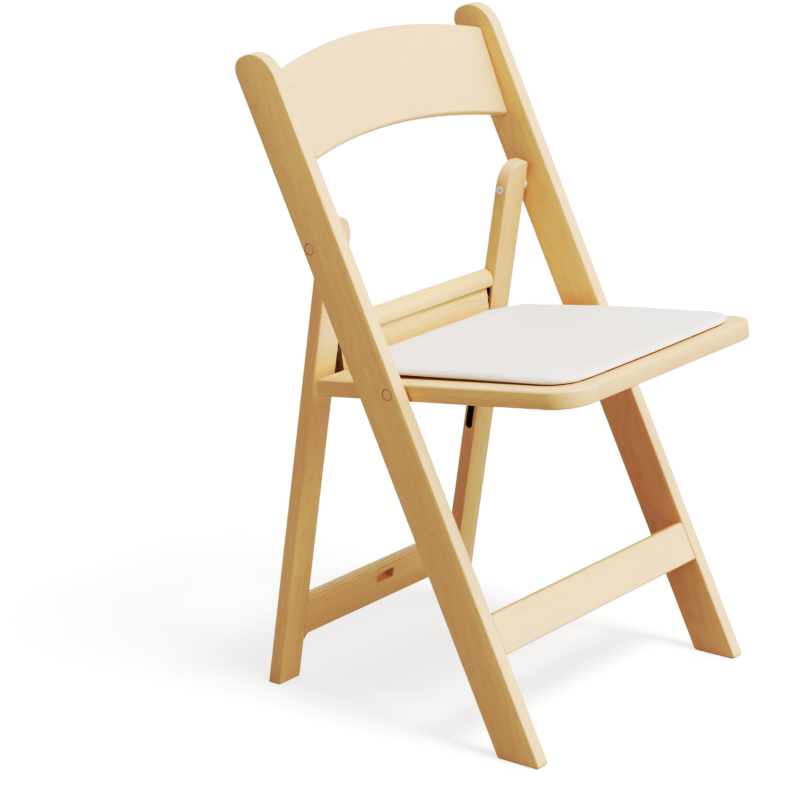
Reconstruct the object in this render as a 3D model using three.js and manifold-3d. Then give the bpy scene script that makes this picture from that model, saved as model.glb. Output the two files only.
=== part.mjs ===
// Folding chair with a padded seat. Millimetres, +Z up. +X is the sitter's left, -Y is the front.
// The origin is on the floor, under the middle of the bounding box.
import * as THREE from 'three';
import { mergeVertices } from 'three/addons/utils/BufferGeometryUtils.js';
import Module from 'manifold-3d';

const wasm = await Module();
wasm.setup();
const DEG = Math.PI / 180;

// ---- driving dimensions -------------------------------------------------
const GAP = 0.3;                 // clearance between pieces that touch
const MID_Y = 199.03;            // middle of the depth, behind the toe of the front foot

// front frame: two leaning uprights, a back panel and a low stretcher
const UP_LEAN = 25.32;           // lean back from vertical, degrees
const UP_WIDE = 55.6;            // width seen from the side
const UP_OUT = 215.6;            // outer face
const UP_IN = 197.3;             // inner face
const UP_EDGE = 1.8;             // rounding of the long edges
const UP_TOP = 885.9;            // length along the upright to its top
const UP_CROWN = { rearY: 16.5, rearZ: 17, frontY: 34, frontZ: 39.8 };   // its two rounded top corners, ellipses

const BACK_TOP = 851.6;          // panel's top edge at its ends, along the upright
const BACK_LOW = 738.3;          // panel's bottom edge at its ends
const BACK_TOP_ARCH = 30.2;      // rise of the top edge in the middle
const BACK_LOW_ARCH = 26.4;      // rise of the bottom edge in the middle
const BACK_TOP_FACE = 18.2;      // front face at the top, back from the upright's front
const BACK_LOW_FACE = 26.4;      // front face at the bottom
const BACK_BOW = 11.8;           // hollow of the panel in plan
const BACK_THICK = 13;
const BACK_ROUND = 4;            // rounding of its long edges
const BACK_TENON = 8;            // length let into each upright

const FS_LOW = 135.7, FS_TOP = 185.2, FS_FRONT = 1.2, FS_DEEP = 18.4;   // front stretcher

// rear frame: two legs, a low stretcher and a top rail
const LEG_LEAN = 10.4;           // lean forward from vertical, degrees
const LEG_DEEP = 18.4;
const LEG_OUT = 191, LEG_IN = 152;
const LEG_TOP = 610.5;
const LEG_CROWN = { inX: 23, inZ: 30.5, out: 5 };    // rounded top: inner corner (an ellipse), outer corner
const RS_LOW = 56.5, RS_TOP = 105.2, RS_FRONT = 0.6, RS_DEEP = 17.4;    // rear stretcher
const RS_FLARE = { r: 6.5, flat: 2.4 };                                  // its lower corners widen to the legs
const POCKET = { wide: 33, low: 84.3, top: 97.5, deep: 10, round: 1.5 };
const TR_LOW = 451.2, TR_TOP = 470.4, TR_FRONT = 1.5;                    // top rail

// pivots, as (back, along) on the upright
const UPPER_PIVOT = { back: 45.1, along: 651.2 };
const SEAT_PIVOT = { back: 13.4, along: 463 };

// seat, as (s rearwards, h upwards) from the seat pivot
const SEAT_SLOPE = 6.65;         // falls to the rear, degrees
const SEAT_OUT = 194.3, SEAT_LOW = -13.3, SEAT_TOP = 8.6;
const SEAT_FRONT = -245.5, SEAT_CORNER = 38;
const SEAT_EDGE = 1.8;           // rounding of the rim's lower outer edge
const RIM_ROUND = { across: 6.5, down: 3.6 };    // rounding of its upper outer edge, an ellipse
const RAIL_IN = 141;             // inner face of the side rails
const RAIL_END = 124.9;          // rear end of the side rails at mid height
const RAIL_END_SLOPE = 0.3067;   // cut parallel to the rear legs
const RAIL_END_ROUND = { low: 7, top: 7 };
const FRONT_RAIL_REAR = -196, BACK_RAIL_FRONT = 73, BACK_RAIL_REAR = 122.9;
const STOP_RAIL = { front: 123.2, rear: 141.6, half: 144, top: 45.6, round: 1.5 };
const PANEL = { half: 150, front: -205, rear: 82, thick: 9 };
const BOARD = { half: 162, front: -220, rear: 108, low: 8.9, thick: 3, corner: 30 };
const PAD = { half: 173.5, front: -228.5, rear: 116, low: 10.4, top: 21.2, round: 8,
  frontCorner: 36, rearCorner: 52, lowRound: 2 };

// guide slots in the rear legs and the pins that run in them
const SLOT_R = 5, SLOT_DEEP = 11.2, SLOT_OVER = 8;
const PIN_R = 4.6, PIN_OUT = 162.6;

// fastenings
const PLUG = { r: 6.3, out: 215.4, inner: 211.6 };
const BOLT = { headR: 5.8, headOut: 211.3, headIn: 208.3, r: 2.8 };
const COUNTERBORE = { r: 6.6, inner: 208 };
const BORE_R = 3.2;
const SPACER_R = 7.6;
const NUT = { flangeR: 5.3, flangeThick: 1.5, barrelR: 4.2, boreR: 3.1, length: 16, socketR: 2.6, socketDeep: 2.4 };
const DOWEL = { r: 4, inRail: 22, inPost: 11 };
const DOWEL_SLOP = 0.3;

// ---- materials ----------------------------------------------------------
const mat = (color, roughness, metalness = 0) =>
  new THREE.MeshStandardMaterial({ color, roughness, metalness });
const WOOD = mat(0xdfc298, 0.5);
const WOOD_DARK = mat(0xc79f68, 0.55);
const PLY = mat(0xcfae7c, 0.65);
const VINYL = mat(0xe8e2dc, 0.45);
const BOARD_MAT = mat(0x54483c, 0.8);
const STEEL = mat(0xb8b5ae, 0.3, 1);
const NYLON = mat(0xe9dcc0, 0.45);

// ---- solids -------------------------------------------------------------
function toManifold(geometry, matrix) {
  const g = geometry.index ? geometry.toNonIndexed() : geometry.clone();
  g.deleteAttribute('normal');
  g.deleteAttribute('uv');
  if (matrix) g.applyMatrix4(matrix);
  const m = mergeVertices(g, 1e-5);
  return new wasm.Manifold(new wasm.Mesh({
    numProp: 3,
    vertProperties: new Float32Array(m.attributes.position.array),
    triVerts: new Uint32Array(m.index.array),
  }));
}

function toGeometry(manifold) {
  const mesh = manifold.getMesh();
  const g = new THREE.BufferGeometry();
  g.setAttribute('position', new THREE.BufferAttribute(new Float32Array(mesh.vertProperties), 3));
  g.setIndex(new THREE.BufferAttribute(new Uint32Array(mesh.triVerts), 1));
  g.computeVertexNormals();
  return g;
}

const basis = (ex, ey, ez, at = [0, 0, 0]) => new THREE.Matrix4()
  .makeBasis(new THREE.Vector3(...ex), new THREE.Vector3(...ey), new THREE.Vector3(...ez))
  .setPosition(...at);

// An outline in (y, z) carried along x from x0 to x1, its two ends rounded over by `edge`.
function alongX(shape, x0, x1, edge = 0, segments = 3) {
  const g = new THREE.ExtrudeGeometry(shape, {
    depth: x1 - x0 - 2 * edge, bevelEnabled: edge > 0, bevelThickness: edge,
    bevelSize: edge, bevelOffset: -edge, bevelSegments: segments, curveSegments: 10,
  });
  return toManifold(g, basis([0, 1, 0], [0, 0, 1], [1, 0, 0], [x0 + edge, 0, 0]));
}

// An outline in (x, y) carried up z from z0 to z1; the rounding may reach further across than down.
function upZ(shape, z0, z1, edge = 0, segments = 3, across = edge) {
  const g = new THREE.ExtrudeGeometry(shape, {
    depth: z1 - z0 - 2 * edge, bevelEnabled: edge > 0, bevelThickness: edge,
    bevelSize: across, bevelOffset: -across, bevelSegments: segments, curveSegments: 10,
  });
  return toManifold(g, basis([1, 0, 0], [0, 1, 0], [0, 0, 1], [0, 0, z0 + edge]));
}

// An outline in (x, z) carried along y from y0 to y1.
function alongY(shape, y0, y1, edge = 0, segments = 3) {
  const g = new THREE.ExtrudeGeometry(shape, {
    depth: y1 - y0 - 2 * edge, bevelEnabled: edge > 0, bevelThickness: edge,
    bevelSize: edge, bevelOffset: -edge, bevelSegments: segments, curveSegments: 10,
  });
  return toManifold(g, basis([1, 0, 0], [0, 0, 1], [0, -1, 0], [0, y1 - edge, 0]));
}

function box(x0, x1, y0, y1, z0, z1) {
  const g = new THREE.BoxGeometry(x1 - x0, y1 - y0, z1 - z0);
  g.translate((x0 + x1) / 2, (y0 + y1) / 2, (z0 + z1) / 2);
  return toManifold(g);
}

// A round bar between two x values at (y, z).
function barX(r, x0, x1, y, z, sides = 24) {
  const g = new THREE.CylinderGeometry(r, r, x1 - x0, sides);
  g.rotateZ(-Math.PI / 2);
  g.translate((x0 + x1) / 2, y, z);
  return toManifold(g);
}

function barY(r, y0, y1, x, z, sides = 20) {
  const g = new THREE.CylinderGeometry(r, r, y1 - y0, sides);
  g.translate(x, (y0 + y1) / 2, z);
  return toManifold(g);
}

function barZ(r, z0, z1, x, y, sides = 20) {
  const g = new THREE.CylinderGeometry(r, r, z1 - z0, sides);
  g.rotateX(Math.PI / 2);
  g.translate(x, y, (z0 + z1) / 2);
  return toManifold(g);
}

// A closed outline through corners [u, v, radius].
function rounded(corners) {
  const shape = new THREE.Shape();
  const n = corners.length;
  for (let i = 0; i < n; i += 1) {
    const [u, v, r] = corners[i];
    const a = corners[(i + n - 1) % n], b = corners[(i + 1) % n];
    const p = new THREE.Vector2(u, v);
    const toA = new THREE.Vector2(a[0] - u, a[1] - v).normalize();
    const toB = new THREE.Vector2(b[0] - u, b[1] - v).normalize();
    const half = Math.acos(THREE.MathUtils.clamp(toA.dot(toB), -1, 1)) / 2;
    const back = r / Math.tan(half);
    const start = p.clone().addScaledVector(toA, back);
    if (i === 0) shape.moveTo(start.x, start.y); else shape.lineTo(start.x, start.y);
    if (r <= 0) continue;
    const centre = p.clone().addScaledVector(toA.clone().add(toB).normalize(), r / Math.sin(half));
    const end = p.clone().addScaledVector(toB, back);
    const a0 = Math.atan2(start.y - centre.y, start.x - centre.x);
    const a1 = Math.atan2(end.y - centre.y, end.x - centre.x);
    let turn = a1 - a0;
    while (turn > Math.PI) turn -= 2 * Math.PI;
    while (turn < -Math.PI) turn += 2 * Math.PI;
    const steps = Math.max(3, Math.ceil(Math.abs(turn) / (11 * DEG)));
    for (let k = 1; k <= steps; k += 1) {
      const t = a0 + (turn * k) / steps;
      shape.lineTo(centre.x + r * Math.cos(t), centre.y + r * Math.sin(t));
    }
  }
  return shape;
}

const mirrored = (m) => m.mirror([1, 0, 0]);

function add(group, name, manifold, material) {
  const mesh = new THREE.Mesh(toGeometry(manifold), material);
  mesh.name = name;
  group.add(mesh);
}

// The same piece on the sitter's left (+X) and, mirrored, on the right (-X).
function addPair(group, name, manifold, material) {
  add(group, `${name}_left`, manifold, material);
  add(group, `${name}_right`, mirrored(manifold), material);
}

const union = (parts) => parts.reduce((sum, part) => sum.add(part));
const cut = (body, tools) => tools.reduce((rest, tool) => rest.subtract(tool), body);

// ---- frames of reference ------------------------------------------------
// Every frame keeps x; its y runs back and its z runs up along the piece.
const lean = UP_LEAN * DEG, legLean = LEG_LEAN * DEG, slope = SEAT_SLOPE * DEG;
const onUpright = (p) => ({
  y: p.back * Math.cos(lean) + p.along * Math.sin(lean),
  z: p.along * Math.cos(lean) - p.back * Math.sin(lean),
});
const upper = onUpright(UPPER_PIVOT);
const seatPivot = onUpright(SEAT_PIVOT);

const LEG_MID = LEG_DEEP / 2;    // pivots and slots lie on the rear leg's middle line
const legPivotAlong = (upper.z - LEG_MID * Math.sin(legLean)) / Math.cos(legLean);
const legFootY = upper.y + legPivotAlong * Math.sin(legLean) - LEG_MID * Math.cos(legLean);

// Height of the guide pins above the seat pivot: it brings the folded legs parallel to the uprights.
const PIN_H = UPPER_PIVOT.back - SEAT_PIVOT.back;
// Distance of the pins behind the seat pivot: it puts them on the slot's middle line at rest.
const legBack = (y, z) => (y - legFootY) * Math.cos(legLean) + z * Math.sin(legLean);
const legAlong = (y, z) => -(y - legFootY) * Math.sin(legLean) + z * Math.cos(legLean);
const onSeat = (s, h) => ({
  y: seatPivot.y + s * Math.cos(slope) + h * Math.sin(slope),
  z: seatPivot.z - s * Math.sin(slope) + h * Math.cos(slope),
});
const atZero = onSeat(0, PIN_H);
const PIN_S = (LEG_MID - legBack(atZero.y, atZero.z)) / Math.cos(slope + legLean);
const pin = onSeat(PIN_S, PIN_H);
const pinAlong = legAlong(pin.y, pin.z);
const pinFoldedAlong = legPivotAlong - (UPPER_PIVOT.along - (SEAT_PIVOT.along - PIN_S));

const root = new THREE.Group();
root.name = 'folding_chair';
const frontFrame = new THREE.Group();
frontFrame.name = 'front_frame';
frontFrame.position.set(0, -MID_Y, 0);
frontFrame.rotation.x = -lean;
const rearFrame = new THREE.Group();
rearFrame.name = 'rear_frame';
rearFrame.position.set(0, legFootY - MID_Y, 0);
rearFrame.rotation.x = legLean;
const seat = new THREE.Group();
seat.name = 'seat';
seat.position.set(0, seatPivot.y - MID_Y, seatPivot.z);
seat.rotation.x = -slope;
root.add(frontFrame, rearFrame, seat);

// ---- dowels -------------------------------------------------------------
// Dowels across a butt joint at x = face; the rail lies inwards, the post outwards.
function dowelJoint(face, places) {
  const bars = (r, extra) => places.map(([y, z]) =>
    barX(r, face - DOWEL.inRail - extra, face + DOWEL.inPost + extra, y, z, 16));
  return { pins: bars(DOWEL.r, 0), holes: union(bars(DOWEL.r + DOWEL_SLOP, 0.5)) };
}

function addDowels(group, name, pins) {
  pins.forEach((bar, i) => addPair(group, `${name}_dowel_${i + 1}`, bar, WOOD_DARK));
}

// ---- front frame --------------------------------------------------------
function uprightShape() {
  const heel = UP_WIDE * Math.tan(lean);
  const { rearY, rearZ, frontY, frontZ } = UP_CROWN;
  const s = rounded([[0, 0, 4], [UP_WIDE, heel, 5], [UP_WIDE, UP_TOP - rearZ, 0], [0, UP_TOP - frontZ, 0]]);
  const foot = s.getPoints().filter((p) => p.y < 100);
  const outline = new THREE.Shape();
  foot.forEach((p, i) => (i ? outline.lineTo(p.x, p.y) : outline.moveTo(p.x, p.y)));
  for (let i = 0; i <= 8; i += 1) {
    const t = (i / 8) * 90 * DEG;
    outline.lineTo(UP_WIDE - rearY + rearY * Math.cos(t), UP_TOP - rearZ + rearZ * Math.sin(t));
  }
  for (let i = 0; i <= 12; i += 1) {
    const t = (90 + (i / 12) * 90) * DEG;
    outline.lineTo(frontY + frontY * Math.cos(t), UP_TOP - frontZ + frontZ * Math.sin(t));
  }
  return outline;
}

// The bowed back panel, from -half to +half, grown by `grow` all round.
function backPanel(x0, x1, stations, grow) {
  const ring = [];
  const corner = BACK_ROUND + grow;
  const t2 = BACK_THICK / 2 + grow;
  for (let q = 0; q < 4; q += 1) {
    for (let i = 0; i <= 4; i += 1) {
      const a = (q + i / 4) * 90 * DEG;
      const sy = q === 0 || q === 3 ? 1 : -1, sz = q < 2 ? 1 : -1;
      ring.push([sy * (t2 - corner) + corner * Math.cos(a), sz, corner * Math.sin(a)]);
    }
  }
  const pos = [], idx = [];
  const n = ring.length;
  for (let k = 0; k <= stations; k += 1) {
    const x = x0 + ((x1 - x0) * k) / stations;
    const g = Math.max(0, 1 - (x / UP_IN) ** 2);
    const bow = x > UP_IN || x < -UP_IN ? 0 : g;
    const top = BACK_TOP + BACK_TOP_ARCH * bow + grow, low = BACK_LOW + BACK_LOW_ARCH * bow - grow;
    for (const [dy, sz, dz] of ring) {
      const along = (sz > 0 ? top - corner : low + corner) + dz;
      const face = THREE.MathUtils.mapLinear(along, BACK_LOW, BACK_TOP, BACK_LOW_FACE, BACK_TOP_FACE);
      pos.push(x, face + BACK_THICK / 2 + BACK_BOW * bow + dy, along);
    }
  }
  for (let k = 0; k < stations; k += 1) {
    for (let i = 0; i < n; i += 1) {
      const a = k * n + i, b = k * n + ((i + 1) % n), c = a + n, d = b + n;
      idx.push(a, b, c, b, d, c);
    }
  }
  for (let i = 1; i < n - 1; i += 1) {
    idx.push(0, i + 1, i);
    idx.push(stations * n, stations * n + i, stations * n + i + 1);
  }
  const g = new THREE.BufferGeometry();
  g.setAttribute('position', new THREE.BufferAttribute(new Float32Array(pos), 3));
  g.setIndex(idx);
  return toManifold(g);
}

function buildFrontFrame() {
  const dowels = dowelJoint(UP_IN - GAP, [
    [FS_FRONT + FS_DEEP / 2, FS_LOW + 13], [FS_FRONT + FS_DEEP / 2, FS_TOP - 13]]);
  const end = UP_IN + BACK_TENON;
  const groove = backPanel(UP_IN - 1, end + GAP, 1, GAP);
  const drill = (p) => [
    barX(BORE_R, UP_IN - 1, COUNTERBORE.inner + 1, p.back, p.along, 20),
    barX(COUNTERBORE.r, COUNTERBORE.inner, UP_OUT + 1, p.back, p.along, 32),
  ];
  const upright = cut(alongX(uprightShape(), UP_IN, UP_OUT, UP_EDGE),
    [groove, dowels.holes, ...drill(UPPER_PIVOT), ...drill(SEAT_PIVOT)]);
  addPair(frontFrame, 'front_upright', upright, WOOD);

  const half = backPanel(0, UP_IN, 16, 0).add(backPanel(UP_IN - 0.01, end, 1, 0));
  add(frontFrame, 'backrest_panel', half.add(mirrored(half)), WOOD);

  const stretcher = alongX(rounded([
    [FS_FRONT, FS_LOW, 2.5], [FS_FRONT + FS_DEEP, FS_LOW, 2.5],
    [FS_FRONT + FS_DEEP, FS_TOP, 2.5], [FS_FRONT, FS_TOP, 4]]), -UP_IN + GAP, UP_IN - GAP);
  add(frontFrame, 'front_stretcher', cut(stretcher, [dowels.holes, mirrored(dowels.holes)]), WOOD);
  addDowels(frontFrame, 'front_stretcher', dowels.pins);

  for (const [name, p, inner] of [['upper_pivot', UPPER_PIVOT, LEG_IN + 4],
    ['seat_pivot', SEAT_PIVOT, SEAT_OUT - 32]]) {
    const plug = barX(PLUG.r, PLUG.inner, PLUG.out, p.back, p.along, 32);
    addPair(frontFrame, `${name}_plug`, plug, WOOD_DARK);
    const bolt = barX(BOLT.headR, BOLT.headIn, BOLT.headOut, p.back, p.along, 24)
      .add(barX(BOLT.r, inner, BOLT.headIn + 0.5, p.back, p.along, 20));
    addPair(frontFrame, `${name}_bolt`, bolt, STEEL);
    const outerFace = name === 'upper_pivot' ? LEG_OUT : SEAT_OUT;
    const ring = barX(SPACER_R, outerFace + GAP, UP_IN - GAP, p.back, p.along, 32)
      .subtract(barX(BORE_R, outerFace, UP_IN, p.back, p.along, 20));
    addPair(frontFrame, `${name}_spacer`, ring, NYLON);
  }
  const { back, along } = UPPER_PIVOT;
  const flange = barX(NUT.flangeR, LEG_IN - GAP - NUT.flangeThick, LEG_IN - GAP, back, along, 32);
  const barrel = barX(NUT.barrelR, LEG_IN - GAP - 0.5, LEG_IN + NUT.length, back, along, 24);
  const nutFace = LEG_IN - GAP - NUT.flangeThick;
  const nut = flange.add(barrel)
    .subtract(barX(NUT.boreR, LEG_IN + 3, LEG_IN + NUT.length + 1, back, along, 20))
    .subtract(barX(NUT.socketR, nutFace - 1, nutFace + NUT.socketDeep, back, along, 6));    // hexagon socket
  addPair(frontFrame, 'upper_pivot_nut', nut, STEEL);
}

// ---- rear frame ---------------------------------------------------------
function buildRearFrame() {
  const low = dowelJoint(LEG_IN - GAP, [[LEG_MID, RS_LOW + 13], [LEG_MID, RS_TOP - 13]]);
  const high = dowelJoint(LEG_IN - GAP, [[LEG_MID + 1.5, (TR_LOW + TR_TOP) / 2 + 1]]);
  // front outline of the leg, its top rounded on both corners
  const outline = new THREE.Shape();
  outline.moveTo(LEG_IN, -20);
  outline.lineTo(LEG_OUT, -20);
  for (let i = 0; i <= 5; i += 1) {
    const t = i * 18 * DEG;
    outline.lineTo(LEG_OUT - LEG_CROWN.out * (1 - Math.cos(t)), LEG_TOP - LEG_CROWN.out * (1 - Math.sin(t)));
  }
  for (let i = 0; i <= 10; i += 1) {
    const t = (90 + i * 9) * DEG;
    outline.lineTo(LEG_IN + LEG_CROWN.inX * (1 + Math.cos(t)), LEG_TOP - LEG_CROWN.inZ * (1 - Math.sin(t)));
  }
  const underFloor = new THREE.Shape();
  underFloor.moveTo(-5, 5 * Math.tan(legLean));
  underFloor.lineTo(-5, -40);
  underFloor.lineTo(LEG_DEEP + 5, -40);
  underFloor.lineTo(LEG_DEEP + 5, -(LEG_DEEP + 5) * Math.tan(legLean));
  const slotEnds = [pinFoldedAlong, pinAlong + SLOT_OVER];
  const slot = union([
    ...slotEnds.map((z) => barX(SLOT_R, LEG_IN - 1, LEG_IN + SLOT_DEEP, LEG_MID, z, 24)),
    box(LEG_IN - 1, LEG_IN + SLOT_DEEP, LEG_MID - SLOT_R, LEG_MID + SLOT_R, slotEnds[0], slotEnds[1])]);
  const leg = cut(alongY(outline, 0, LEG_DEEP, UP_EDGE), [
    alongX(underFloor, LEG_IN - 5, LEG_OUT + 5), slot, low.holes, high.holes,
    barX(NUT.barrelR + GAP, LEG_IN - 1, LEG_IN + NUT.length + 2, LEG_MID, legPivotAlong, 24),
    barX(BORE_R, LEG_IN + NUT.length, LEG_OUT + 1, LEG_MID, legPivotAlong, 20)]);
  addPair(rearFrame, 'rear_leg', leg, WOOD);

  const halfSpan = LEG_IN - GAP, flare = RS_FLARE.r;
  const s = new THREE.Shape();
  s.moveTo(-halfSpan, RS_TOP);
  s.lineTo(-halfSpan, RS_LOW - flare);
  for (let i = 0; i <= 6; i += 1) {
    const t = (180 - i * 15) * DEG;
    s.lineTo(-halfSpan + RS_FLARE.flat + flare + flare * Math.cos(t), RS_LOW - flare + flare * Math.sin(t));
  }
  for (let i = 0; i <= 6; i += 1) {
    const t = (90 - i * 15) * DEG;
    s.lineTo(halfSpan - RS_FLARE.flat - flare + flare * Math.cos(t), RS_LOW - flare + flare * Math.sin(t));
  }
  s.lineTo(halfSpan, RS_LOW - flare);
  s.lineTo(halfSpan, RS_TOP);
  s.closePath();
  const w = POCKET.wide / 2;
  const pocket = alongY(rounded([[-w, POCKET.low, POCKET.round], [w, POCKET.low, POCKET.round],
    [w, POCKET.top, POCKET.round], [-w, POCKET.top, POCKET.round]]), RS_FRONT - 2, RS_FRONT + POCKET.deep);
  add(rearFrame, 'rear_stretcher', cut(alongY(s, RS_FRONT, RS_FRONT + RS_DEEP, 1, 2),
    [pocket, low.holes, mirrored(low.holes)]), WOOD);
  addDowels(rearFrame, 'rear_stretcher', low.pins);

  const section = new THREE.Shape();
  section.moveTo(TR_FRONT, TR_LOW);
  section.lineTo(LEG_DEEP, TR_LOW);
  section.lineTo(LEG_DEEP, TR_TOP - 1.5);
  section.lineTo(LEG_DEEP - 1.5, TR_TOP);
  const rx = LEG_DEEP - 1.5 - TR_FRONT, rz = TR_TOP - TR_LOW - 4;
  for (let i = 0; i <= 9; i += 1) {
    const t = (90 + i * 10) * DEG;
    section.lineTo(TR_FRONT + rx + rx * Math.cos(t), TR_TOP - rz + rz * Math.sin(t));
  }
  const rail = alongX(section, -LEG_IN + GAP, LEG_IN - GAP);
  add(rearFrame, 'rear_top_rail', cut(rail, [high.holes, mirrored(high.holes)]), WOOD);
  addDowels(rearFrame, 'rear_top_rail', high.pins);

  addPair(rearFrame, 'slide_pin', barX(PIN_R, STOP_RAIL.half + GAP, PIN_OUT, LEG_MID, pinAlong, 24), STEEL);
}

// ---- seat ---------------------------------------------------------------
const roundedPlan = (half, front, rear, frontCorner, rearCorner) => rounded([
  [-half, front, frontCorner], [half, front, frontCorner], [half, rear, rearCorner], [-half, rear, rearCorner]]);

function buildSeat() {
  const far = 400;
  const frameShape = rounded([[-SEAT_OUT, SEAT_FRONT, SEAT_CORNER], [SEAT_OUT, SEAT_FRONT, SEAT_CORNER],
    [SEAT_OUT, RAIL_END + 20, 0], [-SEAT_OUT, RAIL_END + 20, 0]]);
  const slab = upZ(frameShape, SEAT_LOW - 20, SEAT_TOP, RIM_ROUND.down, 5, RIM_ROUND.across)
    .intersect(upZ(frameShape, SEAT_LOW, SEAT_TOP + 20, SEAT_EDGE));
  const midH = (SEAT_LOW + SEAT_TOP) / 2;
  const endAt = (h) => RAIL_END - RAIL_END_SLOPE * (h - midH);
  // the rear ends of the side rails follow the slope of the legs, with rounded corners
  const profile = alongX(rounded([[SEAT_FRONT - 5, SEAT_LOW - 5, 0], [endAt(SEAT_LOW) - 20, SEAT_LOW - 5, 0],
    [endAt(SEAT_LOW) - 20, SEAT_LOW, 0], [endAt(SEAT_LOW), SEAT_LOW, RAIL_END_ROUND.low],
    [endAt(SEAT_TOP), SEAT_TOP, RAIL_END_ROUND.top],
    [endAt(SEAT_TOP) - 30, SEAT_TOP, 0], [endAt(SEAT_TOP) - 30, SEAT_TOP + 5, 0],
    [SEAT_FRONT - 5, SEAT_TOP + 5, 0]]), -SEAT_OUT - 5, SEAT_OUT + 5);
  const rabbet = box(-PANEL.half - GAP, PANEL.half + GAP, PANEL.front - GAP, PANEL.rear + GAP,
    SEAT_TOP - PANEL.thick - GAP, SEAT_TOP + 20);
  const dowelH = (SEAT_LOW + SEAT_TOP - PANEL.thick) / 2;      // centred in the wood below the panel
  const frontDowels = dowelJoint(RAIL_IN, [[SEAT_FRONT + 14, dowelH], [FRONT_RAIL_REAR - 12, dowelH]]);
  const backDowels = dowelJoint(RAIL_IN, [[(BACK_RAIL_FRONT + BACK_RAIL_REAR) / 2 + 6, dowelH]]);
  const bolt = barX(BORE_R, SEAT_OUT - 34, SEAT_OUT + 1, 0, 0, 20);
  const notch = box(0, STOP_RAIL.half + GAP, BACK_RAIL_REAR, far, -far, far);   // for the stop rail's end
  const sideRail = cut(slab.intersect(profile).intersect(box(RAIL_IN + GAP / 2, far, -far, far, -far, far)),
    [rabbet, notch, frontDowels.holes, backDowels.holes, bolt]);
  addPair(seat, 'seat_side_rail', sideRail, WOOD);
  const inner = RAIL_IN - GAP / 2;
  add(seat, 'seat_front_rail', cut(slab.intersect(box(-inner, inner, -far, FRONT_RAIL_REAR, -far, far)),
    [rabbet, frontDowels.holes, mirrored(frontDowels.holes)]), WOOD);

  const screwXs = [-105, 0, 105];
  const screwH = midH;
  const stopHoles = union(screwXs.map((x) => barY(2.3, BACK_RAIL_REAR - 22, STOP_RAIL.rear + 1, x, screwH, 16)
    .add(barY(4.7, STOP_RAIL.rear - 4, STOP_RAIL.rear + 1, x, screwH, 24))));
  add(seat, 'seat_back_rail', cut(box(-inner, inner, BACK_RAIL_FRONT, BACK_RAIL_REAR, SEAT_LOW, SEAT_TOP),
    [rabbet, backDowels.holes, mirrored(backDowels.holes), stopHoles]), WOOD);
  addDowels(seat, 'seat_front_rail', frontDowels.pins);
  addDowels(seat, 'seat_back_rail', backDowels.pins);

  const r = STOP_RAIL.round;
  const stop = alongX(rounded([[STOP_RAIL.front, SEAT_LOW, r], [STOP_RAIL.rear, SEAT_LOW, r],
    [STOP_RAIL.rear, STOP_RAIL.top, r], [STOP_RAIL.front, STOP_RAIL.top, r]]),
  -STOP_RAIL.half, STOP_RAIL.half, 1, 2);
  add(seat, 'seat_stop_rail', stop.subtract(stopHoles), WOOD);
  screwXs.forEach((x, i) => add(seat, `stop_rail_screw_${i + 1}`,
    barY(2, BACK_RAIL_REAR - 21, STOP_RAIL.rear - 2, x, screwH, 16)
      .add(barY(4.4, STOP_RAIL.rear - 3.7, STOP_RAIL.rear - 0.7, x, screwH, 24)), STEEL));

  const padScrews = [[-95, -150], [95, -150], [-95, 50], [95, 50]];
  const panelLow = SEAT_TOP - PANEL.thick;
  const padHoles = union(padScrews.map(([x, s]) => barZ(2.1, panelLow - 1, BOARD.low + 2.6, x, s, 16)));
  add(seat, 'seat_panel', box(-PANEL.half, PANEL.half, PANEL.front, PANEL.rear, panelLow, SEAT_TOP)
    .subtract(padHoles), PLY);
  const board = (grow) => upZ(roundedPlan(BOARD.half + grow, BOARD.front - grow, BOARD.rear + grow,
    BOARD.corner + grow, BOARD.corner + grow), BOARD.low - grow, BOARD.low + BOARD.thick + grow);
  add(seat, 'cushion_board', board(0).subtract(padHoles), BOARD_MAT);
  padScrews.forEach(([x, s], i) => add(seat, `cushion_screw_${i + 1}`,
    barZ(1.8, panelLow - 1.5, BOARD.low + 2.3, x, s, 16)
      .add(barZ(4, panelLow - GAP - 2.5, panelLow - GAP, x, s, 24)), STEEL));

  const plan = roundedPlan(PAD.half, PAD.front, PAD.rear, PAD.frontCorner, PAD.rearCorner);
  const top = upZ(plan, PAD.low - 20, PAD.top, PAD.round, 4);
  const low = upZ(plan, PAD.low, PAD.top + 20, PAD.lowRound, 2);
  add(seat, 'seat_cushion', top.intersect(low).subtract(board(GAP)), VINYL);
}

buildFrontFrame();
buildRearFrame();
buildSeat();

export default root;
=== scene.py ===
# %% [markdown]
# # A wooden folding chair with a padded seat
# The chair's frame comes ready from CAD: 55 separate solids that ride on four bodies (the front frame, the
# rear frame, the seat and the two guide pins). This lesson gives every piece its finish, sews the cushion,
# and lights the chair as a furniture maker's catalogue would.
#
# The frame is loaded first.

# %% Load the frame
import math

import bmesh
import bpy
from mathutils import Matrix, Vector


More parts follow.
